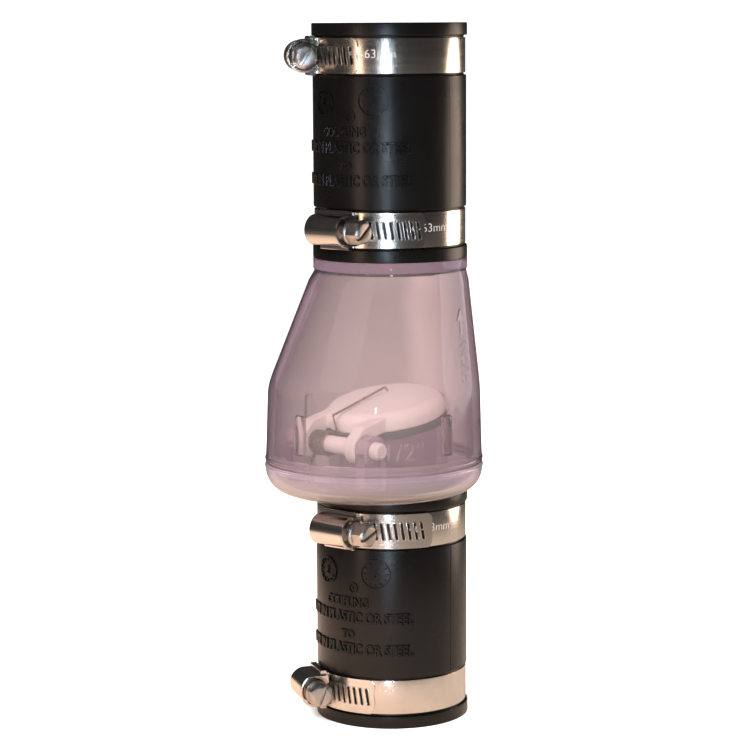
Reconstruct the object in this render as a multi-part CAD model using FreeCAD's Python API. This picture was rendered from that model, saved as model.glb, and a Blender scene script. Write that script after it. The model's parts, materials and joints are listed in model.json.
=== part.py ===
import FreeCAD, Part
import math
import os

# Swing check valve for 1-1/2 inch waste pipe, sizes in millimetres.
# Origin: centre of the bottom face of the inlet coupling, +Z along the flow.
# The hinge of the flapper lies on the -X side and runs along Y.

PIPE_OD = 48.3
PIPE_WALL = 3.7

COUPLING_LENGTH = 85.7
RIM_RADIUS = 28.5
RIM_HEIGHT = 4.6
GROOVE_RADIUS = 27.2
GROOVE_WIDTH = 14.3
SLEEVE_RADIUS = 28.15
STOP_RADIUS = 21.6
STOP_HALF = 1.0

BODY_HEIGHT = 86.3
BODY_OFFSET = 9.0
BOWL_RADIUS = 40.2
BOWL_CORNER = 9.0
WALL = 3.0
JOINT_Z = 97.0
LIP_HEIGHT = 3.5
LIP_RADIUS = 38.6
BEAD_HEIGHT = 0.3
BARREL_RADIUS = 40.1
SHOULDER_Z = 125.5
SHOULDER_RADIUS = 39.2
SHOULDER_OFFSET = 8.8
NECK_Z = 168.0

SEAT_TILT = 10.0
SEAT_CENTRE_X = -1.5
SEAT_OUTER = 22.5
SEAT_BORE = 18.5

HINGE_X = -29.0
HINGE_Z = 105.2
PIN_RADIUS = 3.15
PIN_HALF = 24.5
PIN_CHAMFER = 0.8
EAR_RADIUS = 5.4
EAR_INNER = 16.3
EAR_OUTER = 21.0

FLAPPER_CENTRE = 27.4
FLAPPER_RADIUS = 22.5
RIM_EDGE_HEIGHT = 5.2
CROWN_EDGE = 18.3
CROWN_EDGE_HEIGHT = 9.6
CROWN_HEIGHT = 10.6
KNUCKLE_RADIUS = 5.7
KNUCKLE_BORE = 3.20
ARM_INNER = 10.45
ARM_OUTER = 15.75
SEAL_RADIUS = 22.8
SEAL_THICK = 2.7
RETAINER_RADIUS = 14.0
RETAINER_THICK = 2.0
SEAL_SCREW_RADIUS = 2.0

SPRING_WIRE = 0.45
SPRING_MEAN = 4.15
SPRING_PITCH = 1.28
SPRING_START_Y = 1.7
SPRING_START_ANGLE = 35.0
SPRING_END_ANGLE = -99.0
SPRING_TURNS = 6 + (SPRING_START_ANGLE - SPRING_END_ANGLE) / 360.0

BAND_WIDTH = 12.7
BAND_THICK = 0.65
TAIL_OUTER = 28.5
SLOT_PITCH = 2.5
SLOT_WIDTH = 1.0
SLOT_LENGTH = 6.3
SADDLE_INNER = 28.55
SADDLE_OUTER = 29.15
HOUSING_AXIS = 32.5
HOUSING_RADIUS = 5.6
HOUSING_LIP = 6.2
HOUSING_LIP_LENGTH = 1.1
HOUSING_CAVITY = 4.2
HOUSING_BACK = -7.3
HOUSING_FRONT = 9.0
HOUSING_END_WALL = 0.85
FLANGE_HALF = 7.15
FLANGE_BACK = -6.7
FLANGE_FRONT = 7.3
FLANGE_TOP = 30.3
WORM_RADIUS = 3.7
WORM_ROOT = 2.9
WORM_BACK = -6.0
WORM_FRONT = 7.7
THREAD_FLANK = 0.7
THREAD_CREST = 0.4
NECK_RADIUS = 3.0
NECK_BORE = 3.05
COLLAR_RADIUS = 4.7
COLLAR_BACK = 10.5
HEX_BACK = 11.6
HEX_FRONT = 17.4
HEX_FLATS = 7.94
HEX_FACE_RADIUS = 3.3
HEX_CHAMFER = 1.5
HEAD_SLOT_WIDTH = 1.2
HEAD_SLOT_DEPTH = 1.5

# each clamp: name, height, bearing of the screw housing, bearing span of the loose tail,
# angle that its screw head stands turned to
CLAMPS = [
    ("inlet_clamp_low", 11.75, 153.0, 58.5, 68.0),
    ("inlet_clamp_high", 73.95, 185.0, 71.5, 20.0),
    ("outlet_clamp_low", 183.75, 183.0, 68.0, 40.0),
    ("outlet_clamp_high", 245.95, 143.0, 58.0, 55.0),
]

V = FreeCAD.Vector
UP = V(0, 0, 1)
ALONG_X = V(1, 0, 0)
ALONG_Y = V(0, 1, 0)
BODY_BASE_Z = COUPLING_LENGTH
BODY_TOP_Z = COUPLING_LENGTH + BODY_HEIGHT
SPIGOT_DEPTH = COUPLING_LENGTH / 2.0 - STOP_HALF - 0.05
PIPE_RADIUS = PIPE_OD / 2.0
PIPE_BORE = PIPE_RADIUS - PIPE_WALL


def cylinder(radius, height, base, direction=UP):
    return Part.makeCylinder(radius, height, base, direction)


def loft(sections):
    wires = []
    for x, z, radius in sections:
        wires.append(Part.Wire(Part.makeCircle(radius, V(x, 0, z), UP)))
    return Part.makeLoft(wires, True, True)


def turned(points, x=0.0):
    corners = [V(x + r, 0, z) for r, z in points]
    corners.append(corners[0])
    face = Part.Face(Part.makePolygon(corners))
    return face.revolve(V(x, 0, 0), UP, 360)


def turned_edges(edges, x=0.0):
    face = Part.Face(Part.Wire(edges))
    return face.revolve(V(x, 0, 0), UP, 360)


def arc(first, middle, last):
    return Part.Arc(first, middle, last).toShape()


def line(first, last):
    return Part.makeLine(first, last)


def save(shape, name):
    shape = shape.removeSplitter()
    if len(shape.Solids) == 1:
        shape = shape.Solids[0]
    if not shape.isValid():
        raise RuntimeError("invalid solid: " + name)
    shape.exportStep("parts/" + name + ".step")
    return shape


def coupling(base_z):
    half = COUPLING_LENGTH / 2.0
    groove_end = RIM_HEIGHT + GROOVE_WIDTH
    upper_half = [
        (RIM_RADIUS, half),
        (RIM_RADIUS, half - RIM_HEIGHT),
        (GROOVE_RADIUS, half - RIM_HEIGHT),
        (GROOVE_RADIUS, half - groove_end),
        (SLEEVE_RADIUS, half - groove_end),
    ]
    outline = [(PIPE_RADIUS, half)]
    outline.extend(upper_half)
    outline.extend([(r, -z) for r, z in reversed(upper_half)])
    outline.append((PIPE_RADIUS, -half))
    outline.append((PIPE_RADIUS, -STOP_HALF))
    outline.append((STOP_RADIUS, -STOP_HALF))
    outline.append((STOP_RADIUS, STOP_HALF))
    outline.append((PIPE_RADIUS, STOP_HALF))
    placed = [(r, z + base_z + half) for r, z in outline]
    return turned(placed)


def bowl():
    z0 = BODY_BASE_Z
    inner_corner = BOWL_CORNER - WALL
    inner = BOWL_RADIUS - WALL
    bend = BOWL_RADIUS - BOWL_CORNER
    k = math.sqrt(0.5)
    lip_top = JOINT_Z + LIP_HEIGHT
    x = -BODY_OFFSET
    edges = [
        line(V(x, 0, z0), V(x + bend, 0, z0)),
        arc(V(x + bend, 0, z0),
            V(x + bend + BOWL_CORNER * k, 0, z0 + BOWL_CORNER * (1 - k)),
            V(x + BOWL_RADIUS, 0, z0 + BOWL_CORNER)),
        line(V(x + BOWL_RADIUS, 0, z0 + BOWL_CORNER), V(x + BOWL_RADIUS, 0, JOINT_Z)),
        line(V(x + BOWL_RADIUS, 0, JOINT_Z), V(x + LIP_RADIUS, 0, JOINT_Z)),
        line(V(x + LIP_RADIUS, 0, JOINT_Z), V(x + LIP_RADIUS, 0, lip_top)),
        line(V(x + LIP_RADIUS, 0, lip_top), V(x + inner, 0, lip_top)),
        line(V(x + inner, 0, lip_top), V(x + inner, 0, z0 + BOWL_CORNER)),
        arc(V(x + inner, 0, z0 + BOWL_CORNER),
            V(x + bend + inner_corner * k, 0, z0 + WALL + inner_corner * (1 - k)),
            V(x + bend, 0, z0 + WALL)),
        line(V(x + bend, 0, z0 + WALL), V(x, 0, z0 + WALL)),
        line(V(x, 0, z0 + WALL), V(x, 0, z0)),
    ]
    return turned_edges(edges, x)


def weld_bead(z, radius):
    crest = radius + BEAD_HEIGHT
    root = radius - 2 * BEAD_HEIGHT
    points = [(root, z - 0.6), (crest, z - 0.3), (crest, z + 0.3), (root, z + 0.6)]
    return turned(points, -BODY_OFFSET)


def seat_space_above():
    slab = Part.makeBox(140, 120, 60, V(-70, -60, 0))
    slab.rotate(V(0, 0, 0), ALONG_Y, -SEAT_TILT)
    slab.translate(V(HINGE_X, 0, HINGE_Z))
    return slab


def ear(y_low):
    thickness = EAR_OUTER - EAR_INNER
    foot = BODY_BASE_Z + 1.0
    post = Part.makeBox(2 * EAR_RADIUS, thickness, HINGE_Z - foot, V(HINGE_X - EAR_RADIUS, y_low, foot))
    head = cylinder(EAR_RADIUS, thickness, V(HINGE_X, y_low, HINGE_Z), ALONG_Y)
    return post.fuse(head)


def valve_base():
    seat_height = HINGE_Z + 14.0 - BODY_BASE_Z
    tube = cylinder(SEAT_OUTER, seat_height, V(SEAT_CENTRE_X, 0, BODY_BASE_Z + 0.5))
    tube = tube.cut(seat_space_above())
    spigot = cylinder(PIPE_RADIUS, SPIGOT_DEPTH + 1.0, V(0, 0, BODY_BASE_Z - SPIGOT_DEPTH))
    body = bowl().fuse([tube, spigot, weld_bead(JOINT_Z - 1.3, BOWL_RADIUS)])
    body = body.fuse([ear(EAR_INNER), ear(-EAR_OUTER)])
    spigot_bore = cylinder(PIPE_BORE, SPIGOT_DEPTH, V(0, 0, BODY_BASE_Z - SPIGOT_DEPTH))
    seat_bore = cylinder(SEAT_BORE, seat_height + 10, V(SEAT_CENTRE_X, 0, BODY_BASE_Z - 5))
    pin_hole = cylinder(PIN_RADIUS, 2 * EAR_OUTER + 2, V(HINGE_X, -EAR_OUTER - 1, HINGE_Z), ALONG_Y)
    return body.cut(spigot_bore).cut(seat_bore).cut(pin_hole)


def wall_rib(bearing):
    radius = SHOULDER_RADIUS - WALL - 1.6
    rib = Part.makeBox(3.2, 3.0, 14.9, V(radius, -1.5, 102.8))
    rib.rotate(V(0, 0, 0), UP, bearing)
    rib.translate(V(-SHOULDER_OFFSET, 0, 0))
    return rib


def valve_bonnet():
    barrel = loft([(-BODY_OFFSET, JOINT_Z, BARREL_RADIUS), (-SHOULDER_OFFSET, SHOULDER_Z, SHOULDER_RADIUS)])
    cone = loft([(-SHOULDER_OFFSET, SHOULDER_Z, SHOULDER_RADIUS), (0, NECK_Z, RIM_RADIUS)])
    ring = cylinder(RIM_RADIUS, BODY_TOP_Z - NECK_Z, V(0, 0, NECK_Z))
    spigot = cylinder(PIPE_RADIUS, SPIGOT_DEPTH + 2, V(0, 0, BODY_TOP_Z - 2))
    shell = barrel.fuse([cone, ring, spigot, weld_bead(JOINT_Z + 1.4, BARREL_RADIUS)])
    inner_barrel = loft([
        (-BODY_OFFSET, JOINT_Z - 1, BOWL_RADIUS - WALL),
        (-SHOULDER_OFFSET, SHOULDER_Z - 0.5, SHOULDER_RADIUS - WALL),
    ])
    inner_cone = loft([
        (-SHOULDER_OFFSET, SHOULDER_Z - 0.5, SHOULDER_RADIUS - WALL),
        (0, NECK_Z - 1.0, RIM_RADIUS - WALL),
    ])
    throat = Part.makeCone(RIM_RADIUS - WALL, PIPE_BORE, 4.5, V(0, 0, NECK_Z - 1.0))
    outlet = cylinder(PIPE_BORE, SPIGOT_DEPTH + 10, V(0, 0, BODY_TOP_Z - 2))
    socket = cylinder(LIP_RADIUS, LIP_HEIGHT + 1, V(-BODY_OFFSET, 0, JOINT_Z - 1))
    shell = shell.cut(inner_barrel).cut(inner_cone).cut(throat).cut(outlet).cut(socket)
    return shell.fuse([wall_rib(bearing) for bearing in (0, 90, 180, 270)])


def hinge_pin():
    pin = cylinder(PIN_RADIUS, 2 * PIN_HALF, V(HINGE_X, -PIN_HALF, HINGE_Z), ALONG_Y)
    rims = [edge for edge in pin.Edges if len(edge.Vertexes) == 1]
    return pin.makeChamfer(PIN_CHAMFER, rims)


def to_hinge(shape):
    # shapes of the flapper are drawn with the hinge at the origin and the seat level
    shape.rotate(V(0, 0, 0), ALONG_Y, -SEAT_TILT)
    shape.translate(V(HINGE_X, 0, HINGE_Z))
    return shape


def flapper_plate():
    x = FLAPPER_CENTRE
    bottom = SEAL_THICK
    rise = CROWN_HEIGHT - CROWN_EDGE_HEIGHT
    crown = (CROWN_EDGE ** 2 + rise ** 2) / (2 * rise)
    middle = CROWN_EDGE / 2.0
    middle_height = CROWN_HEIGHT - crown + math.sqrt(crown ** 2 - middle ** 2)
    rim = V(x + FLAPPER_RADIUS, 0, RIM_EDGE_HEIGHT)
    crown_edge = V(x + CROWN_EDGE, 0, CROWN_EDGE_HEIGHT)
    top = V(x, 0, CROWN_HEIGHT)
    edges = [
        line(V(x, 0, bottom), V(x + FLAPPER_RADIUS, 0, bottom)),
        line(V(x + FLAPPER_RADIUS, 0, bottom), rim),
        arc(rim, V(x + 21.25, 0, 8.3), crown_edge),
        arc(crown_edge, V(x + middle, 0, middle_height), top),
        line(top, V(x, 0, bottom)),
    ]
    return turned_edges(edges, x)


def flapper_arm(y_low):
    thickness = ARM_OUTER - ARM_INNER
    top = [(0, 0), (-1.5, 5.5), (0.9, 7.7), (16, 8.4), (24, 8.4)]
    side = top + [(24, SEAL_THICK), (6.2, SEAL_THICK), (5.2, -2.3)]
    corners = [V(u, y_low, n) for u, n in side]
    corners.append(corners[0])
    web = Part.Face(Part.makePolygon(corners)).extrude(V(0, thickness, 0))
    knuckle = cylinder(KNUCKLE_RADIUS, thickness, V(0, y_low, 0), ALONG_Y)
    return web.fuse(knuckle)


def flapper():
    boss = cylinder(3.0, SEAL_THICK + 0.5, V(FLAPPER_CENTRE, 0, 0))
    plate = flapper_plate().fuse([flapper_arm(ARM_INNER), flapper_arm(-ARM_OUTER), boss])
    bore = cylinder(KNUCKLE_BORE, 2 * ARM_OUTER + 2, V(0, -ARM_OUTER - 1, 0), ALONG_Y)
    screw_hole = cylinder(SEAL_SCREW_RADIUS, 7.0, V(FLAPPER_CENTRE, 0, -0.5))
    return to_hinge(plate.cut(bore).cut(screw_hole))


def flapper_seal():
    points = [
        (3.0, 0.0), (15.5, 0.0), (16.0, 0.5), (17.5, 0.5), (18.0, 0.0),
        (SEAL_RADIUS - 0.8, 0.0), (SEAL_RADIUS, 0.8), (SEAL_RADIUS, SEAL_THICK - 0.6),
        (SEAL_RADIUS - 0.6, SEAL_THICK), (3.0, SEAL_THICK),
    ]
    return to_hinge(turned(points, FLAPPER_CENTRE))


def seal_retainer():
    points = [
        (SEAL_SCREW_RADIUS, -RETAINER_THICK), (RETAINER_RADIUS - 0.8, -RETAINER_THICK),
        (RETAINER_RADIUS, -RETAINER_THICK + 0.8), (RETAINER_RADIUS, 0.0), (SEAL_SCREW_RADIUS, 0.0),
    ]
    return to_hinge(turned(points, FLAPPER_CENTRE))


def seal_screw():
    low = -RETAINER_THICK
    points = [
        (0.0, low - 2.4), (2.6, low - 2.4), (3.8, low - 1.4), (3.8, low),
        (SEAL_SCREW_RADIUS, low), (SEAL_SCREW_RADIUS, 6.0), (0.0, 6.0),
    ]
    screw = turned(points, FLAPPER_CENTRE)
    slot = Part.makeBox(9, 1.0, 1.2, V(FLAPPER_CENTRE - 4.5, -0.5, low - 2.4))
    cross = Part.makeBox(1.0, 9, 1.2, V(FLAPPER_CENTRE - 0.5, -4.5, low - 2.4))
    return to_hinge(screw.cut(slot).cut(cross))


def rod(points):
    pieces = []
    for first, last in zip(points, points[1:]):
        step = last.sub(first)
        pieces.append(cylinder(SPRING_WIRE, step.Length, first, step))
    for corner in points[:-1]:
        pieces.append(Part.makeSphere(SPRING_WIRE, corner))
    return pieces


def coil_point(angle, y):
    a = math.radians(angle)
    return V(HINGE_X + SPRING_MEAN * math.cos(a), y, HINGE_Z + SPRING_MEAN * math.sin(a))


def torsion_spring():
    height = SPRING_PITCH * SPRING_TURNS
    helix = Part.makeHelix(SPRING_PITCH, height, SPRING_MEAN)
    ring = Part.Wire(Part.makeCircle(SPRING_WIRE, V(SPRING_MEAN, 0, 0), ALONG_Y))
    coil = Part.Wire(helix).makePipeShell([ring], True, True)
    coil.rotate(V(0, 0, 0), ALONG_X, -90)
    coil.rotate(V(0, 0, 0), ALONG_Y, -SPRING_START_ANGLE)
    coil.translate(V(HINGE_X, SPRING_START_Y, HINGE_Z))
    near = SPRING_START_Y
    far = SPRING_START_Y + height
    floor_z = BODY_BASE_Z + WALL
    upper = rod([
        coil_point(SPRING_START_ANGLE, near), V(-28.1, near, 115.6),
        V(-1.2, near, 122.9), V(0.0, near, 121.7),
    ])
    lower = rod([
        coil_point(SPRING_END_ANGLE, far), V(-32.3, far, 97.1),
        V(-32.8, far, 94.8), V(-32.9, far, floor_z + 0.2),
    ])
    return coil.fuse(upper + lower)


def ring_sector(inner, outer, half_height, first, last):
    ring = cylinder(outer, 2 * half_height, V(0, 0, -half_height))
    ring = ring.cut(cylinder(inner, 2 * half_height, V(0, 0, -half_height)))
    reach = 2 * outer
    steps = max(2, int(math.ceil((last - first) / 45.0)))
    corners = [V(0, 0, -half_height)]
    for i in range(steps + 1):
        a = math.radians(first + (last - first) * i / steps)
        corners.append(V(reach * math.cos(a), reach * math.sin(a), -half_height))
    corners.append(corners[0])
    wedge = Part.Face(Part.makePolygon(corners)).extrude(V(0, 0, 2 * half_height))
    return ring.common(wedge)


def clamp_band(tail_span):
    half = BAND_WIDTH / 2.0
    band = cylinder(GROOVE_RADIUS + BAND_THICK, BAND_WIDTH, V(0, 0, -half))
    band = band.cut(cylinder(GROOVE_RADIUS, BAND_WIDTH, V(0, 0, -half)))
    tail = ring_sector(GROOVE_RADIUS + BAND_THICK, TAIL_OUTER, half, -16.0, tail_span)
    slot_step = math.degrees(SLOT_PITCH / TAIL_OUTER)
    count = int((tail_span + 8.0) / slot_step)
    slots = []
    for i in range(count):
        slot = Part.makeBox(1.6, SLOT_WIDTH, SLOT_LENGTH, V(27.86, -SLOT_WIDTH / 2.0, -SLOT_LENGTH / 2.0))
        slot.rotate(V(0, 0, 0), ALONG_X, 9.0)
        slot.rotate(V(0, 0, 0), UP, -12.0 + slot_step * i)
        slots.append(slot)
    return band.fuse(tail.cut(slots))


def clamp_saddle():
    angle = math.degrees(FLANGE_FRONT / SADDLE_OUTER)
    plate = ring_sector(SADDLE_INNER, SADDLE_OUTER, FLANGE_HALF, -angle, angle)
    window = Part.makeBox(6, 12.4, 9.2, V(26, -6.2, -4.6))
    return plate.cut(window)


def tangent_rod(radius, back, front):
    return cylinder(radius, front - back, V(HOUSING_AXIS, back, 0), ALONG_Y)


def tangent_box(low_x, high_x, back, front, half_height):
    return Part.makeBox(high_x - low_x, front - back, 2 * half_height, V(low_x, back, -half_height))


def clamp_housing():
    foot = HOUSING_AXIS - HOUSING_RADIUS
    arch = tangent_rod(HOUSING_RADIUS, HOUSING_BACK, HOUSING_FRONT)
    lip = tangent_rod(HOUSING_LIP, HOUSING_FRONT - HOUSING_LIP_LENGTH, HOUSING_FRONT)
    legs = tangent_box(foot, HOUSING_AXIS, HOUSING_BACK, HOUSING_FRONT, HOUSING_RADIUS)
    flange = tangent_box(foot, FLANGE_TOP, FLANGE_BACK, FLANGE_FRONT, FLANGE_HALF)
    block = arch.fuse([lip, legs, flange])
    cavity_back = HOUSING_BACK + HOUSING_END_WALL
    cavity_front = HOUSING_FRONT - HOUSING_END_WALL
    cavity = tangent_rod(HOUSING_CAVITY, cavity_back, cavity_front)
    drop = tangent_box(foot - 1, HOUSING_AXIS, cavity_back, cavity_front, HOUSING_CAVITY)
    bore = tangent_rod(NECK_BORE, HOUSING_BACK - 1, HOUSING_FRONT + 1)
    seat = cylinder(SADDLE_OUTER, 30, V(0, 0, -15))
    return block.cut(cavity).cut(drop).cut(bore).cut(seat)


def worm_ridges():
    ridges = []
    root = WORM_ROOT - 0.2
    width = 2 * THREAD_FLANK + THREAD_CREST
    count = int((WORM_FRONT - WORM_BACK) / SLOT_PITCH)
    margin = (WORM_FRONT - WORM_BACK - (count - 1) * SLOT_PITCH - width) / 2.0
    for i in range(count):
        y = WORM_BACK + margin + SLOT_PITCH * i
        crest_back = y + THREAD_FLANK
        crest_front = crest_back + THREAD_CREST
        rise_base = V(HOUSING_AXIS, y, 0)
        fall_base = V(HOUSING_AXIS, crest_front, 0)
        ridges.append(Part.makeCone(root, WORM_RADIUS, THREAD_FLANK, rise_base, ALONG_Y))
        ridges.append(tangent_rod(WORM_RADIUS, crest_back, crest_front))
        ridges.append(Part.makeCone(WORM_RADIUS, root, THREAD_FLANK, fall_base, ALONG_Y))
    return ridges


def hex_head():
    corner = HEX_FLATS / math.sqrt(3)
    points = []
    for i in range(7):
        a = math.radians(60 * i)
        points.append(V(HOUSING_AXIS + corner * math.cos(a), HEX_BACK, corner * math.sin(a)))
    head = Part.Face(Part.makePolygon(points)).extrude(V(0, HEX_FRONT - HEX_BACK, 0))
    straight = tangent_rod(corner + 0.1, HEX_BACK, HEX_FRONT - HEX_CHAMFER)
    chamfer = Part.makeCone(corner + 0.1, HEX_FACE_RADIUS, HEX_CHAMFER,
                            V(HOUSING_AXIS, HEX_FRONT - HEX_CHAMFER, 0), ALONG_Y)
    slot = Part.makeBox(10, HEAD_SLOT_DEPTH, HEAD_SLOT_WIDTH,
                        V(HOUSING_AXIS - 5, HEX_FRONT - HEAD_SLOT_DEPTH, -HEAD_SLOT_WIDTH / 2.0))
    return head.common(straight.fuse(chamfer)).cut(slot)


def clamp_screw(head_angle):
    core = tangent_rod(WORM_ROOT, WORM_BACK, WORM_FRONT)
    stub = tangent_rod(NECK_RADIUS, HOUSING_BACK + 0.1, WORM_BACK)
    neck = tangent_rod(NECK_RADIUS, WORM_FRONT, COLLAR_BACK)
    collar = tangent_rod(COLLAR_RADIUS, COLLAR_BACK, HEX_BACK)
    screw = core.fuse(worm_ridges()).fuse([stub, neck, collar, hex_head()])
    screw.rotate(V(HOUSING_AXIS, 0, 0), ALONG_Y, head_angle)
    return screw


def place_clamp(shape, z, bearing):
    shape.rotate(V(0, 0, 0), UP, bearing)
    shape.translate(V(0, 0, z))
    return shape


os.makedirs("parts", exist_ok=True)
save(coupling(0.0), "inlet_coupling")
save(coupling(BODY_TOP_Z), "outlet_coupling")
save(valve_base(), "valve_base")
save(valve_bonnet(), "valve_bonnet")
save(hinge_pin(), "hinge_pin")
save(flapper(), "flapper")
save(flapper_seal(), "flapper_seal")
save(seal_retainer(), "seal_retainer")
save(seal_screw(), "seal_screw")
save(torsion_spring(), "torsion_spring")
for clamp_name, clamp_z, clamp_bearing, clamp_tail, head_angle in CLAMPS:
    save(place_clamp(clamp_band(clamp_tail), clamp_z, clamp_bearing), clamp_name + "_band")
    save(place_clamp(clamp_saddle(), clamp_z, clamp_bearing), clamp_name + "_saddle")
    save(place_clamp(clamp_housing(), clamp_z, clamp_bearing), clamp_name + "_housing")
    save(place_clamp(clamp_screw(head_angle), clamp_z, clamp_bearing), clamp_name + "_screw")
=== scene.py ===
import json
import math

import bmesh
import bpy
from bpy.props import FloatProperty, FloatVectorProperty, PointerProperty
from mathutils import Matrix, Vector


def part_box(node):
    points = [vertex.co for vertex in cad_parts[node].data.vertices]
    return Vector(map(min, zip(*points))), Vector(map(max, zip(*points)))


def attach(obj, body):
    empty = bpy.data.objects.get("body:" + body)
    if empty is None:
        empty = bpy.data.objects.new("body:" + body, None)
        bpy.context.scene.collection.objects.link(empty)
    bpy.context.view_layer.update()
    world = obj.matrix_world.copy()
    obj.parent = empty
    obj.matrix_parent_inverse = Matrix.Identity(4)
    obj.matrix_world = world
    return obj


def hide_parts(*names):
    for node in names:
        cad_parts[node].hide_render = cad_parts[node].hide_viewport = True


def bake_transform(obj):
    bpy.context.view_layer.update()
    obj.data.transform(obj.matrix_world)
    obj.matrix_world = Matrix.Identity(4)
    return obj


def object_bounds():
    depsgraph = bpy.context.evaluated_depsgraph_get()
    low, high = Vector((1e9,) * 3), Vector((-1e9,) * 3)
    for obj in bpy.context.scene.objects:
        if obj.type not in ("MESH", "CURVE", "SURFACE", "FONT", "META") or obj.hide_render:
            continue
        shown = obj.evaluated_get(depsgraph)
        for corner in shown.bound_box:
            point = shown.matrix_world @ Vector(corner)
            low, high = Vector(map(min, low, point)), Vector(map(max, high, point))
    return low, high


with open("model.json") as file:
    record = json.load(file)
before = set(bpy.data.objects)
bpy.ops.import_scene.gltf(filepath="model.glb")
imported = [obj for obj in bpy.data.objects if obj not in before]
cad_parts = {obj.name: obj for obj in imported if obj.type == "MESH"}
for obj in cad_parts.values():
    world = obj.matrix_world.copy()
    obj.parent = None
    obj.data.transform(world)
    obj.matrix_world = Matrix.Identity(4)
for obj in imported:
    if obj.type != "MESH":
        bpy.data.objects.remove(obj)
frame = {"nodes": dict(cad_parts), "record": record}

bl_info = {
    "name": "Swing Check Valve",
    "version": (1, 0, 0),
    "blender": (4, 5, 0),
    "location": "3D View > Sidebar > Check Valve",
    "description": "Clear swing check valve with rubber sleeves and worm-drive clamps",
    "category": "Object",
}

# Shapes are drawn in millimetres and made metres by finish_piece.
MM = 0.001
CAD_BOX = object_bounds()
JOINTS = {joint["name"]: joint for joint in frame["record"]["behaviour"]["joints"]}
HINGE = [value / MM for value in JOINTS["flapper_swing"]["pos_m"]]
CLAMPS = ("inlet_clamp_low", "inlet_clamp_high", "outlet_clamp_low", "outlet_clamp_high")


def node_box(node):
    low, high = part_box(node)
    return [value / MM for value in low], [value / MM for value in high]


SLEEVE_LOW, SLEEVE_HIGH = node_box("inlet_coupling")
BODY_TOP_Z = node_box("outlet_coupling")[0][2]
BASE_LOW_Z = node_box("valve_base")[0][2]
PIN_LOW_Y, PIN_HIGH_Y = (corner[1] for corner in node_box("hinge_pin"))
SLEEVE_LENGTH = SLEEVE_HIGH[2] - SLEEVE_LOW[2]
RIM_RADIUS = SLEEVE_HIGH[0]
PIPE_RADIUS = frame["record"]["mounts"][0]["dims"]["r_mm"]
PIPE_WALL = 3.7
BODY_BASE_Z = SLEEVE_HIGH[2]
SEAT_TILT = 10.0
VIEW_BEARING = -135.0


def length(name, description, value):
    return FloatProperty(name=name, description=description + ", in mm", default=value)


def colour(name, description, value):
    return FloatVectorProperty(name=name, description="Colour of " + description, default=value,
                               subtype="COLOR", size=3, min=0.0, max=1.0)


def reach(name, description, value):
    return FloatProperty(name=name, description=description, default=value, unit="LENGTH")


def angle(name, description, degrees):
    return FloatProperty(name=name, description=description, default=math.radians(degrees), unit="ROTATION")


class ValveSizes(bpy.types.PropertyGroup):
    rim_height: length("Sleeve rim height", "Height of each end rim of a sleeve", 4.6)
    groove_width: length("Clamp groove width", "Width of the groove a clamp lies in", 14.3)
    groove_radius: length("Groove radius", "Radius at the floor of the clamp groove", 27.2)
    sleeve_radius: length("Sleeve radius", "Outer radius of the sleeve between its grooves", 28.15)
    marking_height: length("Marking relief", "How far moulded markings stand proud", 0.6)
    wall: length("Clear wall", "Wall thickness of the clear body", 3.0)
    body_offset: length("Body offset", "Distance of the bowl's axis from the pipe axis", 9.0)
    bowl_radius: length("Bowl radius", "Outer radius of the clear bowl", 40.2)
    pin_radius: length("Pin radius", "Radius of the hinge pin", 3.15)
    flapper_radius: length("Flapper radius", "Radius of the flapper disc", 22.5)
    flapper_reach: length("Flapper reach", "Distance from the hinge to the disc centre", 27.4)
    wire_radius: length("Spring wire radius", "Radius of the spring wire", 0.45)
    coil_radius: length("Coil radius", "Mean radius of the spring coil", 4.15)
    coil_pitch: length("Coil pitch", "Distance between coil turns", 1.28)
    band_half_width: length("Band half width", "Half the width of a clamp band", 6.35)
    slot_pitch: length("Slot pitch", "Distance between band slots", 2.5)
    housing_axis: length("Screw axis", "Distance of a clamp screw from the pipe axis", 32.5)


class ValveColours(bpy.types.PropertyGroup):
    sleeve: colour("Sleeve rubber", "the rubber sleeves", (0.0016, 0.0014, 0.0014))
    clear: colour("Clear body", "the clear body", (0.93, 0.852, 0.852))
    white: colour("White plastic", "the flapper and its pin", (0.95, 0.845, 0.60))
    seal: colour("Seal rubber", "the flapper seal", (0.045, 0.045, 0.055))
    steel: colour("Stainless steel", "the clamps", (0.70, 0.66, 0.62))
    wire: colour("Spring steel", "the spring wire", (0.46, 0.385, 0.31))
    floor: colour("Floor", "the floor", (0.93, 0.93, 0.93))


class ValveStage(bpy.types.PropertyGroup):
    lens: length("Lens", "Focal length on a 36 mm sensor", 121.06)
    distance: reach("Camera distance", "Distance from the pipe axis", 0.930)
    height: reach("Camera height", "Height above the floor", 0.2581)
    pitch: angle("Pitch", "How far the camera looks down", 7.98)
    yaw: angle("Yaw", "How far the camera aims beside the axis", 0.36)
    roll: angle("Roll", "Turn of the camera about its view", -0.31)


# ---------------------------------------------------------------- shapes

def shift(x, y, z):
    return Matrix.Translation((x, y, z))


def spin(degrees, axis):
    return Matrix.Rotation(math.radians(degrees), 4, axis)


def mesh_object(mesh):
    obj = bpy.data.objects.new("shape", mesh)
    bpy.context.scene.collection.objects.link(obj)
    return obj


def new_object(bm):
    mesh = bpy.data.meshes.new("shape")
    bm.to_mesh(mesh)
    bm.free()
    return mesh_object(mesh)


def outward_object(bm):
    bmesh.ops.recalc_face_normals(bm, faces=bm.faces)
    return new_object(bm)


def discard(obj):
    bpy.data.objects.remove(obj, do_unlink=True)


def evaluated_mesh(obj):
    bpy.context.view_layer.update()
    return bpy.data.meshes.new_from_object(obj.evaluated_get(bpy.context.evaluated_depsgraph_get()))


def bake(obj):
    mesh = evaluated_mesh(obj)
    obj.modifiers.clear()
    obj.data = mesh
    return obj


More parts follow.
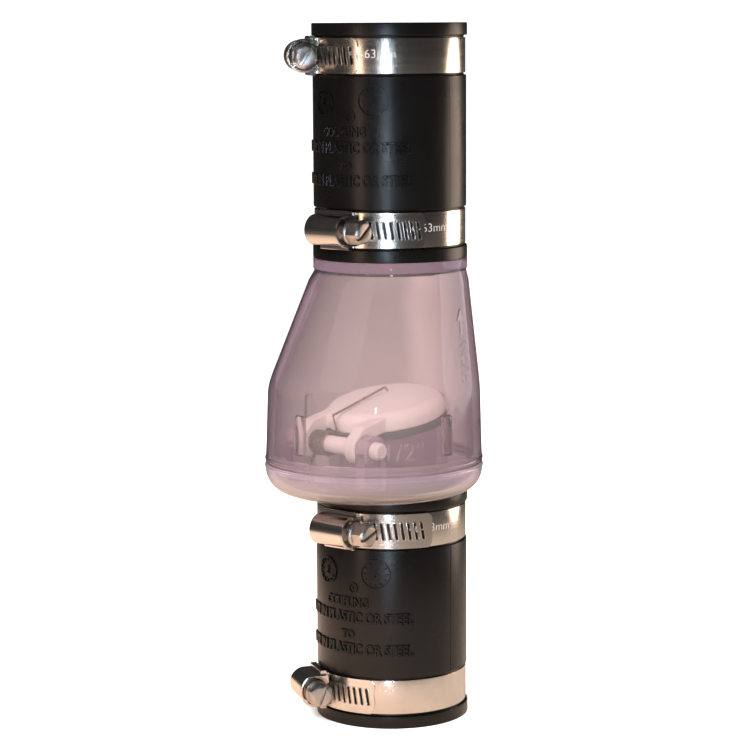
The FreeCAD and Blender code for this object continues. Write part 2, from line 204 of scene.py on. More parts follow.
def bend(before, here, after, steps):
    """Points on the smooth bend from one point to another by way of a corner."""
    shares = [step / steps for step in range(steps + 1)]
    return [before.lerp(here, share).lerp(here.lerp(after, share), share) for share in shares]


def soften(outline, radius, steps=3):
    """The closed outline with each corner rounded."""
    points = []
    for index, corner in enumerate(outline):
        here = Vector(corner)
        before = Vector(outline[index - 1]) - here
        after = Vector(outline[(index + 1) % len(outline)]) - here
        cut = min(radius, 0.45 * before.length, 0.45 * after.length)
        points += bend(here + before.normalized() * cut, here, here + after.normalized() * cut, steps)
    return points


def bridge(bm, first, second):
    """Faces between two loops of equally many points."""
    for index in range(len(first)):
        following = (index + 1) % len(first)
        bm.faces.new((first[index], second[index], second[following], first[following]))


def revolve(rings, segments=128, closed=True):
    """A turned shape through rings of (centre x, height, radius); a zero radius is a pole."""
    bm = bmesh.new()
    angles = [2 * math.pi * index / segments for index in range(segments)]
    loops = []
    for x, z, radius in rings:
        if radius < 1e-6:
            loops.append([bm.verts.new((x, 0, z))])
        else:
            loops.append([bm.verts.new((x + radius * math.cos(a), radius * math.sin(a), z)) for a in angles])
    pairs = list(zip(loops, loops[1:]))
    if closed:
        pairs.append((loops[-1], loops[0]))
    for first, second in pairs:
        for index in range(segments):
            following = (index + 1) % segments
            corners = [first[index % len(first)], second[index % len(second)],
                       second[following % len(second)], first[following % len(first)]]
            unique = list(dict.fromkeys(corners))
            if len(unique) > 2:
                bm.faces.new(unique)
    return outward_object(bm)


def lathe(profile, segments, closed=False):
    """A turned shape on the Z axis through (height, radius) pairs."""
    return revolve([(0.0, z, radius) for z, radius in profile], segments, closed)


def turned(outline, corner=0.3, segments=128, centre=0.0):
    """A turned ring from a closed (radius, height) outline, its corners rounded."""
    return revolve([(centre, z, radius) for radius, z in soften(outline, corner)], segments)


def rod(radius, low, high, segments=96):
    return lathe([(low, 0), (low, radius), (high, radius), (high, 0)], segments)


def along_y(obj, x=0.0, z=0.0):
    """Lays an upright shape along Y through (x, z)."""
    return moved(moved(obj, spin(-90, "X")), shift(x, 0, z))


def cross_rod(radius, low, high, segments=64, x=0.0, z=0.0):
    return along_y(rod(radius, low, high, segments), x, z)


def block(low, high):
    bm = bmesh.new()
    bmesh.ops.create_cube(bm, size=1.0)
    size = Vector(high) - Vector(low)
    middle = (Vector(high) + Vector(low)) / 2
    bmesh.ops.transform(bm, matrix=Matrix.Translation(middle) @ Matrix.Diagonal((*size, 1.0)), verts=bm.verts)
    return new_object(bm)


def prism(outline, low, high):
    """An outline of (x, z) points extruded along Y."""
    bm = bmesh.new()
    front = [bm.verts.new((x, low, z)) for x, z in outline]
    back = [bm.verts.new((x, high, z)) for x, z in outline]
    bm.faces.new(front)
    bm.faces.new(list(reversed(back)))
    bridge(bm, front, back)
    return outward_object(bm)


def moved(obj, matrix):
    obj.data.transform(matrix)
    return obj


def solid(obj, tools, operation):
    for tool in tools:
        modifier = obj.modifiers.new("solid", "BOOLEAN")
        modifier.operation = operation
        modifier.solver = "EXACT"
        modifier.object = tool
    bake(obj)
    for tool in tools:
        discard(tool)
    return obj


def rounded(obj, width, segments=2, sharpest=35.0):
    """Bevels every edge that bends by more than an angle."""
    modifier = obj.modifiers.new("rounded", "BEVEL")
    modifier.width = width
    modifier.segments = segments
    modifier.limit_method = "ANGLE"
    modifier.angle_limit = math.radians(sharpest)
    return bake(obj)


def joined(objects):
    bm = bmesh.new()
    for obj in objects:
        bm.from_mesh(obj.data)
    for obj in objects:
        discard(obj)
    return new_object(bm)


def tube(path, radius, sides=12):
    """A closed round wire along the points."""
    bm = bmesh.new()
    normal = (path[1] - path[0]).orthogonal().normalized()
    loops = []
    for index, point in enumerate(path):
        tangent = (path[min(index + 1, len(path) - 1)] - path[max(index - 1, 0)]).normalized()
        normal = (normal - tangent * normal.dot(tangent)).normalized()
        side = tangent.cross(normal)
        loop = []
        for step in range(sides):
            around = 2 * math.pi * step / sides
            loop.append(bm.verts.new(point + (normal * math.cos(around) + side * math.sin(around)) * radius))
        loops.append(loop)
    for first, second in zip(loops, loops[1:]):
        bridge(bm, first, second)
    bm.faces.new(list(reversed(loops[0])))
    bm.faces.new(loops[-1])
    return outward_object(bm)


CAP_HEIGHT = 0.72
THIN = -0.018


def flat_text(words, height, depth, width=None, weight=THIN):
    """Letters lying in the XY plane, centred on the origin and rising along Z."""
    curve = bpy.data.curves.new("letters", "FONT")
    curve.body = words
    curve.size = height / CAP_HEIGHT
    curve.align_x = "CENTER"
    curve.align_y = "CENTER"
    curve.resolution_u = 3
    curve.offset = weight * height
    curve.bevel_depth = 0.2 * depth if weight >= 0 else 0.0
    curve.bevel_resolution = 0
    curve.extrude = depth / 2 - curve.bevel_depth
    letters = mesh_object(curve)
    mesh = evaluated_mesh(letters)
    discard(letters)
    if width:
        across = [vertex.co.x for vertex in mesh.vertices]
        mesh.transform(Matrix.Diagonal((width / (max(across) - min(across)), 1, 1, 1)))
    return mesh_object(mesh)


def wrap(obj, surface, bearing, height, upright=True):
    """Lays a flat shape on a round wall; surface(z) gives the wall's centre and radius."""
    for vertex in obj.data.vertices:
        x, y, z = vertex.co
        across, up = (x, y) if upright else (-y, x)
        centre, radius = surface(height + up)
        around = math.radians(bearing) + across / radius
        out = radius + z
        vertex.co = (centre + out * math.cos(around), out * math.sin(around), height + up)
    return obj


def add_node(tree, kind, sockets=None, **settings):
    """A node with its settings; each socket takes a value, a colour or another node's output."""
    node = tree.nodes.new(kind)
    for label, value in settings.items():
        setattr(node, label, value)
    for label, value in (sockets or {}).items():
        socket = node.inputs[label]
        if isinstance(value, bpy.types.NodeSocket):
            tree.links.new(value, socket)
        elif socket.type == "RGBA":
            socket.default_value = (*value, 1.0)
        else:
            socket.default_value = value
    return node


def repeat_tree():
    """Copies the incoming shape about Z by equal steps, with an optional rise per step."""
    name = "evenly_repeated"
    if name in bpy.data.node_groups:
        return bpy.data.node_groups[name]
    tree = bpy.data.node_groups.new(name, "GeometryNodeTree")
    kinds = {"Shape": "Geometry", "Count": "Int", "First Angle": "Float", "Angle Step": "Float",
             "Rise": "Float",
             "Material": "Material"}
    for label, kind in kinds.items():
        tree.interface.new_socket(label, in_out="INPUT", socket_type="NodeSocket" + kind)
    tree.interface.new_socket("Shape", in_out="OUTPUT", socket_type="NodeSocketGeometry")
    given = tree.nodes.new("NodeGroupInput").outputs
    index = add_node(tree, "GeometryNodeInputIndex").outputs[0]
    turns = {0: index, 1: given["Angle Step"], 2: given["First Angle"]}
    turn = add_node(tree, "ShaderNodeMath", turns, operation="MULTIPLY_ADD").outputs[0]
    rise = add_node(tree, "ShaderNodeMath", {0: index, 1: given["Rise"]}, operation="MULTIPLY").outputs[0]
    rotation = add_node(tree, "ShaderNodeCombineXYZ", {"Z": turn}).outputs[0]
    position = add_node(tree, "ShaderNodeCombineXYZ", {"Z": rise}).outputs[0]
    points = add_node(tree, "GeometryNodePoints", {"Count": given["Count"], "Position": position}).outputs[0]
    placed = {"Points": points, "Instance": given["Shape"], "Rotation": rotation}
    copies = add_node(tree, "GeometryNodeInstanceOnPoints", placed).outputs[0]
    real = add_node(tree, "GeometryNodeRealizeInstances", {0: copies}).outputs[0]
    coat = add_node(tree, "GeometryNodeSetMaterial",
                    {"Geometry": real, "Material": given["Material"]}).outputs[0]
    add_node(tree, "NodeGroupOutput", {0: coat})
    return tree


def repeated(obj, count, first, step, rise=0.0):
    modifier = obj.modifiers.new("repeated", "NODES")
    modifier.node_group = repeat_tree()
    values = {"Count": count, "First Angle": math.radians(first), "Angle Step": math.radians(step),
              "Rise": rise}
    for item in modifier.node_group.interface.items_tree:
        if item.in_out == "INPUT" and item.name in values:
            modifier[item.identifier] = values[item.name]
    return bake(obj)


def finish_piece(obj, name, finish, body, nodes=(), sharp=32.0, place=None):
    """Names, places, smooths and paints a piece and hands it to the frame."""
    if place is not None:
        obj.data.transform(place)
    obj.data.transform(Matrix.Scale(MM, 4))
    obj.name = name
    obj.data.name = name
    obj.data.materials.clear()
    obj.data.materials.append(existing(finish))
    for polygon in obj.data.polygons:
        polygon.material_index = 0
    obj.data.shade_smooth()
    obj.data.set_sharp_from_angle(angle=math.radians(sharp))
    if body:
        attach(obj, body)
    if nodes:
        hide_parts(*nodes)
    return obj


# ---------------------------------------------------------------- finishes

def object_point(tree):
    return add_node(tree, "ShaderNodeTexCoord").outputs["Object"]


def effect_group(name, inputs, outputs, build):
    """A shader node group, made once; build gives its outputs from its inputs."""
    if name in bpy.data.node_groups:
        return bpy.data.node_groups[name]
    tree = bpy.data.node_groups.new(name, "ShaderNodeTree")
    for label, default in inputs.items():
        socket = tree.interface.new_socket(label, in_out="INPUT", socket_type="NodeSocketFloat")
        socket.default_value = default
    for label in outputs:
        tree.interface.new_socket(label, in_out="OUTPUT", socket_type="NodeSocketFloat")
    given = tree.nodes.new("NodeGroupInput").outputs
    add_node(tree, "NodeGroupOutput", dict(zip(outputs, build(tree, given))))
    return tree


def grain_nodes(tree, given):
    sockets = {"Vector": object_point(tree), "Scale": given["Scale"], "Detail": 4.0}
    return [add_node(tree, "ShaderNodeTexNoise", sockets).outputs["Fac"]]


def marks_nodes(tree, given):
    sockets = {"Vector": object_point(tree), "Scale": given["Scale"], "Detail": 6.0, "Roughness": 0.65}
    cloudy = add_node(tree, "ShaderNodeTexNoise", sockets).outputs["Fac"]
    sockets = {"Value": cloudy, "From Min": 0.32, "From Max": 0.68,
               "To Min": given["Low"], "To Max": given["High"]}
    return [add_node(tree, "ShaderNodeMapRange", sockets).outputs["Result"]]


def streak_nodes(tree, given):
    stretch = add_node(tree, "ShaderNodeMapping",
                       {"Vector": object_point(tree), "Scale": (40.0, 40.0, 4200.0)})
    sockets = {"Vector": stretch.outputs["Vector"], "Scale": 1.0, "Detail": 3.0}
    lines = add_node(tree, "ShaderNodeTexNoise", sockets).outputs["Fac"]
    sockets = {"Value": lines, "From Min": 0.3, "From Max": 0.7,
               "To Min": given["Low"], "To Max": given["High"]}
    return [add_node(tree, "ShaderNodeMapRange", sockets).outputs["Result"], lines]


def grain_group():
    return effect_group("fine_grain", {"Scale": 900.0}, ["Height"], grain_nodes)


def marks_group():
    return effect_group("handling_marks", {"Scale": 60.0, "Low": 0.3, "High": 0.5}, ["Value"], marks_nodes)


def streak_group():
    return effect_group("rolled_streaks", {"Low": 0.18, "High": 0.32}, ["Value", "Height"], streak_nodes)


class Finish:
    """A material with one Principled shader and short ways to feed it."""

    def __init__(self, name, **values):
        self.material = bpy.data.materials.new(name)
        self.material.use_nodes = True
        self.tree = self.material.node_tree
        self.shader = self.tree.nodes["Principled BSDF"]
        for label, value in values.items():
            self.shader.inputs[label.replace("_", " ")].default_value = value

    def node(self, kind, sockets=None, **settings):
        return add_node(self.tree, kind, sockets, **settings)

    def group(self, tree, **values):
        return self.node("ShaderNodeGroup", values, node_tree=tree)

    def feed(self, output, label):
        self.tree.links.new(output, self.shader.inputs[label])

    def marks(self, scale, low, high):
        return self.group(marks_group(), Scale=scale, Low=low, High=high).outputs["Value"]

    def roughness(self, scale, low, high):
        self.feed(self.marks(scale, low, high), "Roughness")

    def bump(self, height, distance, strength):
        sockets = {"Height": height, "Distance": distance, "Strength": strength}
        self.feed(self.node("ShaderNodeBump", sockets).outputs["Normal"], "Normal")

    def grain(self, scale, distance, strength):
        self.bump(self.group(grain_group(), Scale=scale).outputs["Height"], distance, strength)

    def cloudy(self, first, factor, scale):
        """A colour that drifts in clouds to a lighter or darker shade of itself."""
        return mixed_colour(self.tree, self.marks(scale, 0.0, 1.0), first, shade(first, factor))


def shade(first, factor):
    return tuple(min(1.0, channel * factor) for channel in first)


def chosen(name, factor=1.0):
    """One of the colours that the user sets, made lighter or darker."""
    return shade(getattr(bpy.context.scene.valve_colours, name), factor)


def mixed_colour(tree, factor, first, second):
    """A blend of two colours, each a plain colour or another node's output."""
    node = add_node(tree, "ShaderNodeMix", data_type="RGBA")
    for index, value in ((0, factor), (6, first), (7, second)):
        if isinstance(value, tuple):
            node.inputs[index].default_value = (*value, 1.0)
        else:
            tree.links.new(value, node.inputs[index])
    return node.outputs[2]


def existing(build):
    """The material of a finish function, made once and named after it."""
    return bpy.data.materials.get(build.__name__) or build(build.__name__)


def opaque(name, base, drift, rough, grain=None, **values):
    """A finish from its colour, its drift (factor, scale), its roughness and its grain."""
    finish = Finish(name, **values)
    finish.feed(finish.cloudy(base, *drift), "Base Color")
    finish.roughness(*rough)
    if grain:
        finish.grain(*grain)
    return finish.material


def sleeve_rubber(name):
    return opaque(name, chosen("sleeve"), (1.5, 45.0), (70.0, 0.26, 0.34), (2600.0, 0.00003, 0.5),
                  Specular_IOR_Level=0.32)


def white_plastic(name):
    return opaque(name, chosen("white"), (0.965, 70.0), (55.0, 0.24, 0.38), (1500.0, 0.00003, 0.35),
                  IOR=1.48, Subsurface_Weight=0.12, Subsurface_Scale=0.002)


def seal_rubber(name):
    return opaque(name, chosen("seal"), (1.5, 60.0), (80.0, 0.50, 0.65), (2200.0, 0.00004, 0.6))


def turned_steel(name):
    return opaque(name, chosen("steel", 0.78), (0.8, 260.0), (320.0, 0.32, 0.46), (1800.0, 0.00003, 0.5),
                  Metallic=1.0)


def etched_steel(name):
    return opaque(name, chosen("steel", 0.75), (0.9, 300.0), (200.0, 0.45, 0.6), Metallic=0.5)


def drawn_wire(name):
    return opaque(name, chosen("wire"), (0.7, 400.0), (500.0, 0.22, 0.40), (3000.0, 0.00002, 0.5),
                  Metallic=1.0)


def rolled_steel(name):
    finish = Finish(name, Metallic=1.0)
    finish.feed(finish.cloudy(chosen("steel"), 0.88, 140.0), "Base Color")
    streaks = finish.group(streak_group(), Low=0.14, High=0.27)
    finish.feed(streaks.outputs["Value"], "Roughness")
    finish.bump(streaks.outputs["Height"], 0.00001, 0.5)
    return finish.material


CLEAR_IOR = 1.44


def clear_plastic(name):
    finish = Finish(name, IOR=CLEAR_IOR, Transmission_Weight=0.95)
    # The edge colour is a painted shade, darker violet where the wall turns from the eye.
    edge_tint(finish, chosen("clear"), (0.20, 0.12, 0.24))
    finish.roughness(30.0, 0.035, 0.07)
    finish.grain(90.0, 0.00012, 0.35)
    light_passes(finish, 0.90)
    absorb(finish, (0.67, 0.57, 0.60), 260.0)
    return finish.material


def clear_bowl(name):
    """The base's clear plastic, hazy, with its colour painted darker and warmer towards the bowl's floor,
    standing in for the warm floor light and shade seen there.
    """
    finish = Finish(name, IOR=CLEAR_IOR, Transmission_Weight=0.84)
    # Painted floor light and shade: a darker warm colour low in the bowl, rising to the clear tint above.
    height = finish.node("ShaderNodeSeparateXYZ", {0: object_point(finish.tree)}).outputs["Z"]
    rise = finish.node("ShaderNodeMapRange", {"Value": height, "From Min": 87 * MM, "From Max": 98 * MM})
    finish.feed(mixed_colour(finish.tree, rise.outputs["Result"], (0.46, 0.37, 0.32), (0.72, 0.585, 0.71)),
                "Base Color")
    finish.roughness(30.0, 0.05, 0.10)
    finish.grain(90.0, 0.00012, 0.35)
    light_passes(finish, 0.85)
    return finish.material


def dense_clear(name):
    """The clear plastic where it is thick and its haze and tint gather."""
    finish = Finish(name, IOR=CLEAR_IOR, Transmission_Weight=0.86)
    # The second colour is a painted shade, darker violet where the ring turns from the eye.
    edge_tint(finish, (0.58, 0.42, 0.51), (0.40, 0.28, 0.42))
    finish.roughness(60.0, 0.05, 0.11)
    light_passes(finish, 0.6)
    return finish.material


def raised_clear(name):
    finish = Finish(name, IOR=CLEAR_IOR, Transmission_Weight=0.95)
    finish.feed(finish.cloudy(chosen("clear"), 0.95, 120.0), "Base Color")
    finish.roughness(200.0, 0.10, 0.18)
    finish.grain(900.0, 0.00006, 0.6)
    light_passes(finish, 0.8)
    return finish.material


def edge_tint(finish, base, edge):
    """Paints a darker violet shade where the wall turns away from the eye, a painted shade standing in for
    the darkening along the clear body's edges.
    """
    away = finish.node("ShaderNodeLayerWeight", {"Blend": 0.5}).outputs["Facing"]
    edge_shade_mask = finish.node("ShaderNodeMath", {0: away, 1: 1.5}, operation="POWER").outputs[0]
    finish.feed(mixed_colour(finish.tree, edge_shade_mask, finish.cloudy(base, 0.97, 22.0), edge), "Base Color")


def absorb(finish, tint, density):
    """Deepens the tint where light runs a long way through the wall."""
    volume = finish.node("ShaderNodeVolumeAbsorption", {"Color": tint, "Density": density}).outputs["Volume"]
    finish.tree.links.new(volume, finish.tree.nodes["Material Output"].inputs["Volume"])


def light_passes(finish, share):
    """Lets a share of the direct light through, so the parts inside are lit."""
    shadow = finish.node("ShaderNodeLightPath").outputs["Is Shadow Ray"]
    solidity = finish.node("ShaderNodeMath", {0: shadow, 1: -share, 2: 1.0}, operation="MULTIPLY_ADD")
    finish.feed(solidity.outputs[0], "Alpha")


def surroundings(tree, direct, mirrored, through):
    """A colour for what is seen directly, in a mirroring surface and through the clear body; the last two are
    a painted reflection and a painted light, unlike what the camera sees directly.
    """
    path = add_node(tree, "ShaderNodeLightPath").outputs
    outside = mixed_colour(tree, path["Is Glossy Ray"], direct, mirrored)
    return mixed_colour(tree, path["Is Transmission Ray"], outside, through)


ACROSS = (0.7071, -0.7071, 0.0)
AWAY = (0.7071, 0.7071, 0.0)


def floor_fade(tree, place, direction, low, high):
    """Rises from 0 to 1 along one direction of the floor."""
    along = add_node(tree, "ShaderNodeVectorMath", {0: place, 1: direction}, operation="DOT_PRODUCT")
    sockets = {"Value": along.outputs["Value"], "From Min": low, "From Max": high}
    return add_node(tree, "ShaderNodeMapRange", sockets, interpolation_type="SMOOTHSTEP").outputs["Result"]


def floor_paint(name):
    finish = Finish(name, Specular_IOR_Level=0.1)
    tree = finish.tree
    place = object_point(tree)
    # Seen in a mirroring surface the floor is a painted reflection: warm near the valve, darker on one side,
    # dark further out.
    out = finish.node("ShaderNodeVectorMath", {0: place}, operation="LENGTH").outputs["Value"]
    far = finish.node("ShaderNodeMapRange",
                      {"Value": out, "From Min": 0.14, "From Max": 0.50}).outputs["Result"]
    side = floor_fade(tree, place, ACROSS, -0.10, 0.10)
    near = mixed_colour(tree, side, (0.64, 0.46, 0.36), (0.34, 0.28, 0.235))
    mirrored = mixed_colour(tree, far, near, (0.045, 0.042, 0.04))
    # Seen through the clear body the floor is painted brighter to one side and far behind, a painted light on
    # that side of the body.
    beside = floor_fade(tree, place, ACROSS, 0.012, 0.060)
    behind = floor_fade(tree, place, AWAY, 0.55, 0.90)
    bright = finish.node("ShaderNodeMath", {0: beside, 1: behind}, operation="MULTIPLY").outputs[0]
    through = mixed_colour(tree, bright, (0.39, 0.365, 0.347), (0.74, 0.70, 0.65))
    finish.feed(surroundings(tree, chosen("floor"), mirrored, through), "Base Color")
    finish.roughness(8.0, 0.85, 0.95)
    return finish.material


# ---------------------------------------------------------------- sleeves

STOP_DEPTH = 2.55
STOP_HALF = 1.0
RIDGE_BEARINGS = (-84.0, 96.0)
RIDGE_HALF = 0.22


def moulded_dial(radius, relief, ticks, numeral):
    """A plain ring with tick marks and a numeral, the date dial of a mould."""
    half = relief / 2
    inner = radius - 0.35
    ring = turned([(inner, -half), (radius, -half), (radius, half), (inner, half)], 0.05, 40)
    tick = block((radius * 0.68, -0.13, -half), (radius * 0.86, 0.13, half))
    repeated(tick, ticks, 0.0, 360.0 / ticks)
    return joined([ring, tick, flat_text(numeral, radius * 0.62, relief)])


def sleeve_wall(height):
    return 0.0, bpy.context.scene.valve_sizes.sleeve_radius


def sleeve_outline(sizes, base):
    half = SLEEVE_LENGTH / 2
    stop = PIPE_RADIUS - STOP_DEPTH
    shelf = half - sizes.rim_height
    groove = shelf - sizes.groove_width
    upper = [
        (PIPE_RADIUS, half), (RIM_RADIUS, half), (RIM_RADIUS, shelf), (sizes.groove_radius, shelf),
        (sizes.groove_radius, groove), (sizes.sleeve_radius, groove),
    ]
    lower = [(r, -z) for r, z in reversed(upper)]
    inside = [(PIPE_RADIUS, -STOP_HALF), (stop, -STOP_HALF), (stop, STOP_HALF), (PIPE_RADIUS, STOP_HALF)]
    return [(r, z + base + half) for r, z in upper + lower + inside]


def parting_ridge(sizes, base, bearing):
    """The low ridges that the mould's joint leaves on the wall and on both rims."""
    half = SLEEVE_LENGTH / 2
    middle = base + half
    wall = half - sizes.rim_height - sizes.groove_width - 0.4
    rim = RIM_RADIUS - 0.06
    top = base + SLEEVE_LENGTH
    spans = [
        (sizes.sleeve_radius, middle - wall, middle + wall),
        (rim, base + 0.5, base + sizes.rim_height - 0.5),
        (rim, top - sizes.rim_height + 0.5, top - 0.5),
    ]
    strips = []
    for radius, low, high in spans:
        strip = block((radius - 0.5, -RIDGE_HALF, low), (radius + 0.064, RIDGE_HALF, high))
        strips.append(moved(strip, spin(bearing, "Z")))
    return strips


def build_sleeve(name, node, base):
    sizes = bpy.context.scene.valve_sizes
    relief = 2 * sizes.marking_height
    middle = base + SLEEVE_LENGTH / 2
    markings = [
        (flat_text("1-1/2 IN PLASTIC OR STEEL", 3.9, relief, 50.0, 0.0), -35.0, -1.75),
        (flat_text("1-1/2 IN PLASTIC OR STEEL", 3.9, relief, 50.0, 0.0), -35.0, -13.6),
        (flat_text("TO", 2.8, relief, None, 0.0), -35.0, -8.1),
        (flat_text("COUPLING", 3.4, relief, 19.0, 0.0), -37.0, 4.0),
        (moulded_dial(5.6, relief, 12, "6"), -12.0, 15.2),
        (moulded_dial(5.0, relief, 12, "2"), -56.0, 14.6),
        (moulded_dial(1.9, relief, 6, "1"), -30.0, 9.5),
    ]
    parts = [turned(sleeve_outline(sizes, base), 0.45, 192)]
    for shape, bearing, rise in markings:
        parts.append(wrap(shape, sleeve_wall, VIEW_BEARING + bearing, middle + rise))
    for bearing in RIDGE_BEARINGS:
        parts.extend(parting_ridge(sizes, base, bearing))
    return finish_piece(joined(parts), name, sleeve_rubber, "valve", [node])


class VALVE_OT_sleeves(bpy.types.Operator):
    """Rubber sleeves with their rims, clamp grooves and moulded markings"""
    bl_idname = "valve.sleeves"
    bl_label = "Rubber Sleeves"

    def execute(self, context):
        build_sleeve("inlet_sleeve", "inlet_coupling", SLEEVE_LOW[2])
        build_sleeve("outlet_sleeve", "outlet_coupling", BODY_TOP_Z)
        return {"FINISHED"}


# ---------------------------------------------------------------- clear body

JOINT_Z = 97.0
SHOULDER_Z = 125.5
SHOULDER_RADIUS = 39.2
SHOULDER_OFFSET = 8.8
NECK_Z = 168.0
BARREL_RADIUS = 40.1
LIP_RADIUS = 38.6
LIP_TOP = 100.5
SPIGOT_LENGTH = 41.8
RIB_LOW, RIB_HIGH = 102.8, 117.7
RIB_HALF = 2.2
BOWL_CORNER = 9.0
FINE = 192
SEAT_X = -1.5
SEAT_RADIUS = 22.5
SEAT_BORE = 18.5
EAR_RADIUS = 5.4
EAR_INNER, EAR_OUTER = 16.3, 21.0
GATE_PLACE = (-31.4, -1.0, 0.0)


def between(first, last, share):
    return tuple(a + (b - a) * share for a, b in zip(first, last))


def bonnet_path(inset):
    """Rings of the bonnet's wall from its foot to its neck, with a rounded shoulder."""
    foot = (-bpy.context.scene.valve_sizes.body_offset, JOINT_Z, BARREL_RADIUS - inset)
    shoulder = (-SHOULDER_OFFSET, SHOULDER_Z - 0.15 * inset, SHOULDER_RADIUS - inset)
    neck = (0.0, NECK_Z - 0.3 * inset, RIM_RADIUS - inset)
    rings = [between(foot, shoulder, step / 4) for step in range(4)]
    before = Vector(between(foot, shoulder, 0.88))
    after = Vector(between(shoulder, neck, 0.10))
    rings += [tuple(point) for point in bend(before, Vector(shoulder), after, 8)]
    rings += [between(shoulder, neck, step / 10) for step in range(2, 11)]
    return rings


def bonnet_wall(height):
    rings = bonnet_path(0.0)
    for low, high in zip(rings, rings[1:]):
        if low[1] <= height <= high[1]:
            ring = between(low, high, (height - low[1]) / (high[1] - low[1]))
            return ring[0], ring[2]
    return rings[0][0], rings[0][2]


def bead(centre, height, radius):
    """Rings that raise a small weld bead on an upright wall."""
    shape = ((-0.65, 0.0), (-0.4, 0.2), (-0.15, 0.3), (0.15, 0.3), (0.4, 0.2), (0.65, 0.0))
    return [(centre, height + dz, radius + dr) for dz, dr in shape]


def bonnet_shell(wall):
    x = -bpy.context.scene.valve_sizes.body_offset
    bore = PIPE_RADIUS - PIPE_WALL
    stem = [
        (NECK_Z - 0.9, RIM_RADIUS - 0.35), (NECK_Z, RIM_RADIUS - 0.35), (NECK_Z, RIM_RADIUS - 1.0),
        (BODY_TOP_Z - 0.1, RIM_RADIUS - 1.0), (BODY_TOP_Z - 0.1, PIPE_RADIUS),
        (BODY_TOP_Z + SPIGOT_LENGTH, PIPE_RADIUS), (BODY_TOP_Z + SPIGOT_LENGTH, bore),
        (BODY_TOP_Z - 0.5, bore),
    ]
    rings = [(x, JOINT_Z, BARREL_RADIUS - 0.25), (x, JOINT_Z + 0.25, BARREL_RADIUS)]
    rings += bead(x, JOINT_Z + 1.4, BARREL_RADIUS) + bonnet_path(0.0)[1:-1]
    rings += [(0.0, z, radius) for z, radius in stem]
    rings += list(reversed(bonnet_path(wall)))[:-1]
    rings += [(x, LIP_TOP, BARREL_RADIUS - wall), (x, LIP_TOP, LIP_RADIUS), (x, JOINT_Z, LIP_RADIUS)]
    return revolve(rings, FINE)


def inner_ribs(wall):
    face = SHOULDER_RADIUS - wall
    rib = rounded(block((face - 1.3, -RIB_HALF, RIB_LOW), (face + 1.6, RIB_HALF, RIB_HIGH)), 1.2, 4)
    return moved(repeated(rib, 4, 0.0, 90.0), shift(-SHOULDER_OFFSET, 0, 0))


def flow_arrow(full, width, relief):
    half = width / 2
    stem = 0.16 * width
    tip = 0.5 * full
    neck = tip - 0.45 * full
    outline = [(tip, 0.0), (neck, half), (neck, stem), (-tip, stem), (-tip, -stem), (neck, -stem),
               (neck, -half)]
    return moved(prism(outline, -relief / 2, relief / 2), spin(90, "X"))


def rough_spot(radius, count):
    """A patch of tiny nubs left where the part was cut from its runner."""
    bm = bmesh.new()
    for index in range(count):
        out = radius * math.sqrt((index + 0.5) / count)
        around = 2.4 * index
        size = 0.22 + 0.16 * math.sin(5.0 * index) ** 2
        middle = shift(out * math.cos(around), 1.3 * out * math.sin(around), 0.05)
        bmesh.ops.create_icosphere(bm, subdivisions=1, radius=size, matrix=middle)
    return new_object(bm)


def bonnet_markings(relief):
    flow = wrap(flat_text("FLOW", 6.0, relief, 16.0), bonnet_wall, VIEW_BEARING + 61.0, 136.5, False)
    arrow = wrap(flow_arrow(9.0, 5.0, relief), bonnet_wall, VIEW_BEARING + 58.0, 150.0, False)
    size = wrap(flat_text('1-1/2"', 6.7, relief, 21.5), bonnet_wall, VIEW_BEARING + 10.0, 105.7)
    spot = wrap(rough_spot(2.4, 34), bonnet_wall, VIEW_BEARING + 49.0, 118.0)
    return joined([flow, arrow, size, spot])


class VALVE_OT_bonnet(bpy.types.Operator):
    """Clear upper body with its ribs, weld bead and raised markings"""
    bl_idname = "valve.bonnet"
    bl_label = "Clear Bonnet"

    def execute(self, context):
        wall = context.scene.valve_sizes.wall
        shell = solid(bonnet_shell(wall), [inner_ribs(wall)], "UNION")
        finish_piece(shell, "clear_bonnet", clear_plastic, "valve", ["valve_bonnet"], sharp=25.0)
        finish_piece(bonnet_markings(0.7), "bonnet_markings", raised_clear, "valve")
        inner = RIM_RADIUS - 0.98
        low = NECK_Z + 0.05
        high = BODY_TOP_Z - 0.02
        ring = turned([(inner, low), (RIM_RADIUS, low), (RIM_RADIUS, high), (inner, high)], 0.35, FINE)
        finish_piece(ring, "neck_ring", dense_clear, "valve")
        return {"FINISHED"}


def quarter(x, z, flat, corner, shares):
    """Rings round the corner between a level floor and an upright wall."""
    angles = [math.pi / 2 * share for share in shares]
    return [(x, z + corner * (1 - math.cos(a)), flat + corner * math.sin(a)) for a in angles]


def bowl_rings(sizes):
    """Rings of the bowl's closed wall, floor included."""
    radius = sizes.bowl_radius
    wall = sizes.wall
    x = -sizes.body_offset
    flat = radius - BOWL_CORNER
    rings = [(x, BODY_BASE_Z, 0.0)]
    rings += quarter(x, BODY_BASE_Z, flat, BOWL_CORNER, [step / 12 for step in range(13)])
    rings += bead(x, JOINT_Z - 1.35, radius)
    rings += [(x, JOINT_Z - 0.2, radius), (x, JOINT_Z, radius - 0.2), (x, JOINT_Z, LIP_RADIUS - 0.02)]
    rings += [(x, LIP_TOP - 0.05, LIP_RADIUS - 0.02), (x, LIP_TOP - 0.05, radius - wall)]
    rings += quarter(x, BODY_BASE_Z + wall, flat, BOWL_CORNER - wall, [1 - step / 8 for step in range(9)])
    rings.append((x, BODY_BASE_Z + wall, 0.0))
    return rings


def seat_cut():
    return moved(block((-70, -60, 0), (70, 60, 60)), hinge_place())


def ear(low, high):
    x, _, z = HINGE
    foot = BODY_BASE_Z + 1.0
    outline = [(x - EAR_RADIUS, foot), (x + EAR_RADIUS, foot)]
    for step in range(17):
        around = math.pi * step / 16
        outline.append((x + EAR_RADIUS * math.cos(around), z + EAR_RADIUS * math.sin(around)))
    return prism(outline, low, high)


